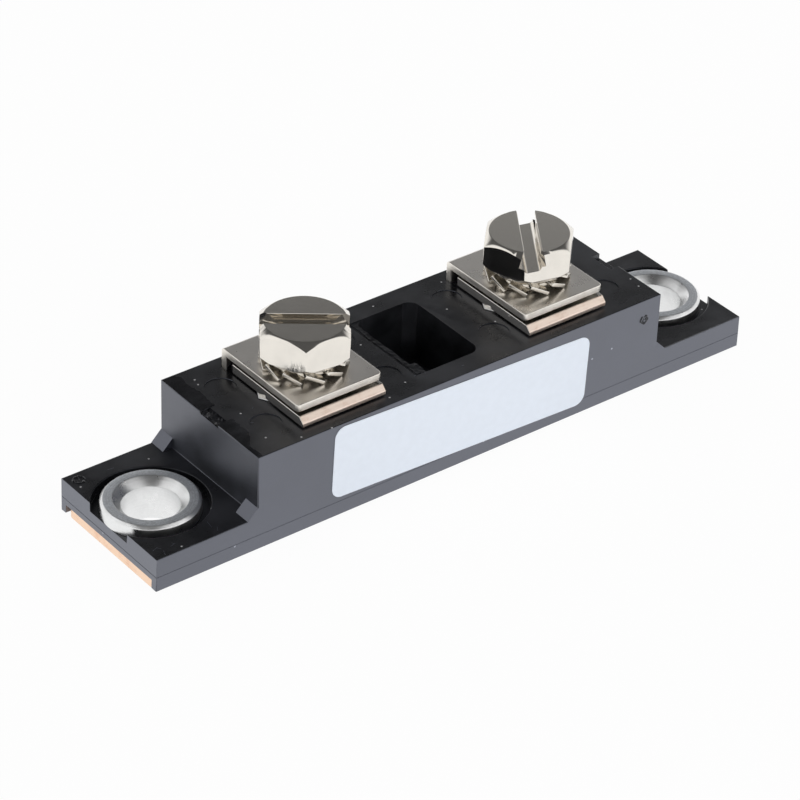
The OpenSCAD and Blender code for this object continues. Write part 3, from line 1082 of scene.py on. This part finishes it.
@dataclass
class Terminal:
    """Strap and contact plate of one terminal, with their cut edges."""

    nodes: Nodes
    side: Side
    plate_face: Material
    plate_edge: Material
    bare_edge: Material
    strap_edge: float = 0.13 * MM
    contact_edge: float = 0.1 * MM
    leg_y: float = 7.0 * MM
    cut_depth: float = 1.0 * MM

    def build_strap(self) -> None:
        """Make and dress the bent strap."""
        name = "terminal_strap_" + self.side.suffix
        bm = merged_copy(self.nodes[name])
        # The cut edges take the sheared finish, whose colour is raised well above the plated faces' as a
        # painted highlight.
        paint(bm, 1, lambda face: abs(face.normal.x) > 0.7)
        paint(bm, 1, lambda face: face.normal.y < -0.7 and face.calc_center_median().y < self.leg_y)
        round_edges(bm, self.strap_edge)
        finish_piece(bm, name, "plated_strap", self.plate_face, self.plate_edge)

    def build_contact(self) -> None:
        """Make and dress the contact plate."""
        name = "contact_plate_" + self.side.suffix
        bm = merged_copy(self.nodes[name])
        low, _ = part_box(name)
        cut_y = low.y + self.cut_depth
        paint(bm, 1, lambda face: face.normal.y < -0.5 and face.calc_center_median().y < cut_y)
        round_edges(bm, self.contact_edge)
        bright = PlatedMetal("bright_plate", (0.84, 0.81, 0.76), 0.1).make()
        finish_piece(bm, name, "plated_copper", bright, self.bare_edge)

    def build(self) -> None:
        """Make both pieces."""
        self.build_strap()
        self.build_contact()


@dataclass
class Screw:
    """One slotted hexagon screw with flared slot ends."""

    side: Side
    head_turn: float
    slot_turn: float
    lean_deg: float
    top: float
    lean_turn: float = 25.0
    half_pitch: float = 17.51 * MM
    across_flats: float = 10.9 * MM
    head_h: float = 4.05 * MM
    low_bevel: float = 0.5 * MM
    top_r: float = 5.13 * MM
    cone_deg: float = 40.0
    edge: float = 0.06 * MM
    shortest: float = 0.1 * MM
    face_r: float = 5.15 * MM
    face_t: float = 0.5 * MM
    shank_r: float = 3.15 * MM
    shank_l: float = 9.5 * MM
    slot_w: float = 2.25 * MM
    slot_d: float = 2.5 * MM
    slot_corner: float = 0.5 * MM
    corner_steps: int = 6
    mouth_x: float = 4.55 * MM
    mouth_flare: float = 0.21
    mouth_lean: float = 1.03
    mouth_side: float = 1.3 * MM
    mouth_back: float = 0.6
    clear: float = 0.3 * MM
    reach: float = 8.0 * MM
    weld: float = 0.09 * MM
    steps: int = 96

    @property
    def axis(self) -> Vector:
        """Middle of the head's top."""
        return Vector((self.side.value * self.half_pitch, 0.0, self.top))

    def profile(self) -> list[Span]:
        """Half section of the screw before its flats and slot, from its top down.

        Returns:
            Radius and height of each corner.
        """
        outer = self.across_flats / math.sqrt(3) + self.clear
        drop = (outer - self.top_r) * math.tan(math.radians(self.cone_deg))
        low = outer - self.low_bevel - self.clear
        seat = -self.head_h - self.face_t
        return [
            (0.0, 0.0),
            (self.top_r, 0.0),
            (outer, -drop),
            (outer, outer - low - self.head_h),
            (low, -self.head_h),
            (self.face_r, -self.head_h),
            (self.face_r, seat),
            (self.shank_r, seat),
            (self.shank_r, seat - self.shank_l),
            (0.0, seat - self.shank_l),
        ]

    def flat_corners(self) -> list[Vector]:
        """Corners of the hexagon bar that the flats belong to, which leans about the head's middle.

        Returns:
            Corners in the head's own axes.
        """
        corner = self.across_flats / math.sqrt(3)
        turns = [math.radians(60.0 * step) for step in range(6)]
        ends = (2 * self.clear, -self.head_h - self.face_t - 2 * self.shank_l)
        aside = math.radians(self.lean_turn - self.head_turn)
        lean = Vector((math.cos(aside), math.sin(aside), 0.0)) * math.tan(math.radians(self.lean_deg))
        upright = [Vector((corner * math.cos(t), corner * math.sin(t), z)) for t in turns for z in ends]
        return [place + lean * (place.z + self.head_h / 2) for place in upright]

    def slot_corners(self) -> list[Vector]:
        """Corners of the slot's space in its own axes, with the slot along X.

        Returns:
            Corners of a bar with round lower corners.
        """
        section = [(self.slot_w / 2, self.clear)]
        for step in range(self.corner_steps + 1):
            turn = math.radians(90.0 * step / self.corner_steps)
            across = self.slot_w / 2 - self.slot_corner * (1.0 - math.cos(turn))
            section.append((across, self.slot_corner * (1.0 - math.sin(turn)) - self.slot_d))
        ends = (-self.reach, self.reach)
        return [Vector((x, hand * y, z)) for x in ends for y, z in section for hand in (1, -1)]

    def mouth_corners(self, hand: int) -> list[Vector]:
        """Corners of the space of one flared slot end, which widens towards the slot's floor.

        Args:
            hand: Sign of the slot's wall along Y.

        Returns:
            Corners in the slot's own axes.
        """
        wall = self.slot_w / 2
        back = self.mouth_back * wall
        corners = []
        for z in (self.clear, self.slot_corner - self.slot_d):
            start = self.mouth_x + self.mouth_lean * z
            spread = wall + self.mouth_flare * (self.reach - start)
            corners += [(start, wall, z), (self.reach, spread, z), (start, back, z), (self.reach, back, z)]
        return [Vector((x, hand * y, z)) for x, y, z in corners]

    def clear_of_mouths(self, edge: bmesh.types.BMEdge) -> bool:
        """Whether an edge's middle lies clear of the flared slot ends.

        Args:
            edge: Edge to test.

        Returns:
            True away from the slot ends.
        """
        place = (edge.verts[0].co + edge.verts[1].co) / 2 - self.axis
        place.rotate(Matrix.Rotation(math.radians(-self.slot_turn), 3, "Z"))
        inside = abs(place.y) < self.slot_w / 2 + self.mouth_side and place.z > -self.slot_d - self.clear
        return not inside or abs(place.x) < self.mouth_x / 2

    def hull(self, corners: Iterable[Vector], turn: float) -> BMesh:
        """Make a convex cutting tool at the screw's top.

        Args:
            corners: Corners in the tool's own axes.
            turn: Direction of its X axis, in degrees.

        Returns:
            The tool's mesh.
        """
        matrix = Matrix.Translation(self.axis) @ Matrix.Rotation(math.radians(turn), 4, "Z")
        tool = bmesh.new()
        made = [tool.verts.new(matrix @ corner) for corner in corners]
        bmesh.ops.convex_hull(tool, input=made)
        bmesh.ops.recalc_face_normals(tool, faces=tool.faces)
        return tool

    def make(self) -> BMesh:
        """Turn the screw, then cut its flats and its slot.

        Returns:
            The screw's mesh.
        """
        bm = spin_profile(self.profile(), self.axis, self.steps, False)
        bm = combine(bm, self.hull(self.flat_corners(), self.head_turn), "INTERSECT")
        bm = combine(bm, self.hull(self.slot_corners(), self.slot_turn), "DIFFERENCE")
        for end in (0.0, 180.0):
            for hand in (1, -1):
                bm = combine(bm, self.hull(self.mouth_corners(hand), self.slot_turn + end), "DIFFERENCE")
        merge_flats(bm)
        bmesh.ops.remove_doubles(bm, verts=bm.verts, dist=self.weld)
        round_edges(bm, self.edge, segments=2, shortest=self.shortest, keep=self.clear_of_mouths)
        broad = [face for face in bm.faces if face.calc_area() > FLAT_AREA]
        bmesh.ops.planar_faces(bm, faces=broad, iterations=40, factor=1.0)
        return bm


@dataclass
class Fasteners:
    """Slotted screws, toothed washers and captive nuts of both terminals."""

    nodes: Nodes
    washer_edge: float = 0.09 * MM
    nut_edge: float = 0.12 * MM
    head_turn: Span = (-125.0, -134.0)
    slot_turn: Span = (-36.0, -124.0)
    lean_deg: Span = (2.6, 0.0)
    chatter: Dimple = Dimple((-21.5, -4.35, 19.6), 2.4, 0.07)

    def make_screws(self) -> BMesh:
        """Make both screws at the heights of their solids.

        Returns:
            One mesh of the two.
        """
        solids = merged_copy(self.nodes["terminal_screws"])
        made = []
        for side, head, slot, lean in zip(Side, self.head_turn, self.slot_turn, self.lean_deg):
            top = max(vert.co.z for vert in solids.verts if vert.co.x * side.value > 0.0)
            made.append(Screw(side, head, slot, lean, top).make())
        solids.free()
        return join(made)

    def build(self) -> None:
        """Make and dress the three kinds."""
        bright = PlatedMetal("bright_nickel", (0.85, 0.81, 0.745), 0.07, film=0.8, chatter=self.chatter)
        nickel = bright.make()
        blade = PlatedMetal("sprung_plate", (0.84, 0.80, 0.73), 0.2, 0.1, 0.012).make()
        zinc = PlatedMetal("pale_zinc", (0.86, 0.86, 0.85), 0.28).make()
        screws = finish_piece(self.make_screws(), "terminal_screws", "nickel_plate", nickel)
        for polygon in screws.data.polygons:
            polygon.use_smooth = polygon.area < FLAT_AREA
        for name, width, material in (
            ("lock_washers", self.washer_edge, blade),
            ("captive_nuts", self.nut_edge, zinc),
        ):
            bm = merged_copy(self.nodes[name])
            round_edges(bm, width)
            finish_piece(bm, name, "nickel_plate", material)


@dataclass
class Label:
    """Bare white sticker on the long side."""

    nodes: Nodes
    edge: float = 0.02 * MM
    edge_deg: float = 40.0

    def build(self) -> None:
        """Make and dress the label."""
        bm = merged_copy(self.nodes["label"])
        round_edges(bm, self.edge, self.edge_deg, 2)
        finish_piece(bm, "label", "label_film", LabelFilm("label_film").make())


@dataclass
class Inside:
    """Chips, solder and gel in the closed chambers."""

    nodes: Nodes

    def build(self) -> None:
        """Dress the pieces, which keep their own solids."""
        silicon = PlainMatter("silicon", (0.16, 0.17, 0.19), 0.2).make()
        solder = PlainMatter("solder", (0.55, 0.56, 0.57), 0.5, 1.0).make()
        gel = PlainMatter("gel", (0.7, 0.71, 0.68), 0.3).make()
        for side in Side:
            dress(self.nodes["diode_chip_" + side.suffix], silicon)
            dress(self.nodes["base_solder_" + side.suffix], solder)
            dress(self.nodes["lead_solder_" + side.suffix], solder)
            dress(self.nodes["gel_fill_" + side.suffix], gel)


@dataclass(frozen=True)
class Lamp:
    """Soft square lamp that faces the module, unseen itself, in metres and watts."""

    name: str
    place: Point
    size: float
    power: float

    def add(self) -> None:
        """Hang the lamp."""
        data = bpy.data.lights.new(self.name, "AREA")
        data.shape = "SQUARE"
        data.size = self.size
        data.energy = self.power
        lamp = bpy.data.objects.new(self.name, data)
        lamp.visible_glossy = False
        lamp.visible_camera = False
        lamp.location = self.place
        lamp.rotation_mode = "QUATERNION"
        lamp.rotation_quaternion = (-Vector(self.place)).to_track_quat("-Z", "Y")
        bpy.context.scene.collection.objects.link(lamp)


@dataclass
class Studio:
    """White floor, bright walls left and right of the camera, two lamps and the camera."""

    floor_size: float = 4.0
    floor_drop: float = 0.02 * MM
    yaw_deg: float = -39.11486
    pitch_deg: float = 34.08605
    roll_deg: float = 2.32853
    aim_right: float = -1.65504 * MM
    aim_up: float = 2.99714 * MM
    distance: float = 427.9117 * MM
    fit_base: float = 0.55 * MM
    focal_px: float = 3384.9935
    image_px: float = 800.0
    sensor_mm: float = 36.0
    clip: Span = (0.01, 50.0)
    glow: float = 1.0
    sky_dim: float = 0.08
    glow_low: float = 0.27
    glow_high: float = 0.59
    side_near: float = 0.60
    side_far: float = 0.70
    side_lean: float = 0.5
    lamps: tuple[Lamp, ...] = (
        Lamp("front_lamp", (0.35, -0.95, 0.65), 1.0, 5.0),
        Lamp("over_lamp", (0.1, 0.2, 1.2), 1.2, 3.0),
    )

    def axes(self) -> tuple[Vector, Vector, Vector]:
        """Camera's right, up and backward directions.

        Returns:
            The three unit vectors.
        """
        yaw = math.radians(self.yaw_deg)
        pitch = math.radians(self.pitch_deg)
        roll = math.radians(self.roll_deg)
        back = Vector((math.sin(yaw) * math.cos(pitch), -math.cos(yaw) * math.cos(pitch), math.sin(pitch)))
        right = Vector((math.cos(yaw), math.sin(yaw), 0.0))
        up = back.cross(right)
        turned_right = math.cos(roll) * right + math.sin(roll) * up
        turned_up = math.cos(roll) * up - math.sin(roll) * right
        return turned_right, turned_up, back

    def add_camera(self) -> None:
        """Set the camera at the photograph's viewing angle."""
        right, up, back = self.axes()
        data = bpy.data.cameras.new("camera")
        data.sensor_width = self.sensor_mm
        data.lens = self.focal_px * self.sensor_mm / self.image_px
        data.clip_start, data.clip_end = self.clip
        camera = bpy.data.objects.new("camera", data)
        place = back * self.distance + right * self.aim_right + up * self.aim_up
        place.z += self.fit_base
        camera.matrix_world = Matrix.Translation(place) @ Matrix((right, up, back)).transposed().to_4x4()
        bpy.context.scene.collection.objects.link(camera)
        bpy.context.scene.camera = camera

    def add_floor(self) -> None:
        """Lay a white floor that keeps a soft shadow."""
        bm = bmesh.new()
        bmesh.ops.create_grid(bm, x_segments=1, y_segments=1, size=self.floor_size)
        mesh = bpy.data.meshes.new("floor")
        bm.to_mesh(mesh)
        bm.free()
        floor = bpy.data.objects.new("floor", mesh)
        floor.location.z = -self.floor_drop
        bpy.context.scene.collection.objects.link(floor)
        mesh.materials.append(FloorWhite("floor_white").make())

    def add_world(self) -> None:
        """Ring the module with a white wall, with two taller bright walls beside the camera."""
        world = bpy.data.worlds.new("studio")
        world.use_nodes = True
        bpy.context.scene.world = world
        graph = Graph(world.node_tree)
        direction = graph.node("TexCoord").outputs["Generated"]
        height = graph.node("SeparateXYZ", {"Vector": direction}).outputs[2]
        yaw = math.radians(self.yaw_deg)
        across = graph.vector("DOT_PRODUCT", direction, (math.cos(yaw), math.sin(yaw), 0.0))
        toward = graph.vector("DOT_PRODUCT", direction, (math.sin(yaw), -math.cos(yaw), 0.0))
        ring = graph.span(height, self.glow_low, self.glow_high, self.glow, self.sky_dim)
        beside = graph.maths("MULTIPLY_ADD", toward, self.side_lean, graph.maths("ABSOLUTE", across))
        sides = graph.span(beside, self.side_near, self.side_far, 0.0, self.glow)
        strength = graph.maths("MAXIMUM", ring, sides)
        background = graph.node("Background", {"Color": WHITE, "Strength": strength})
        graph.node("OutputWorld", {"Surface": background.outputs[0]})

    def build(self) -> None:
        """Set the whole stage."""
        bpy.context.scene.view_settings.view_transform = "Standard"
        self.add_floor()
        self.add_world()
        for lamp in self.lamps:
            lamp.add()
        self.add_camera()


def main() -> None:
    """Build the module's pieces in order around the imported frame."""
    logging.basicConfig(level=logging.INFO)
    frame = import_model()
    nodes = frame["nodes"]
    Studio().build()
    Base(nodes).build()
    Inside(nodes).build()
    Moulding(nodes).build()
    plate_face = PlatedMetal("satin_plate", (0.80, 0.77, 0.73), 0.26, 0.1).make()
    # Sheared strap edges: rougher and lined as cut metal, with a colour raised well above the plated
    # faces' as a painted highlight.
    plate_edge = ShearedEdge("sheared_plate_painted_highlight", (0.97, 0.93, 0.86), (0.66, 0.60, 0.52), 0.34, 0.03).make()
    bare_edge = ShearedEdge("sheared_copper", (0.97, 0.82, 0.71), (0.74, 0.52, 0.40), 0.36, 0.03).make()
    for side in Side:
        Bushing(side).build()
        Terminal(nodes, side, plate_face, plate_edge, bare_edge).build()
    Fasteners(nodes).build()
    Label(nodes).build()


if __name__ == "__main__":
    main()
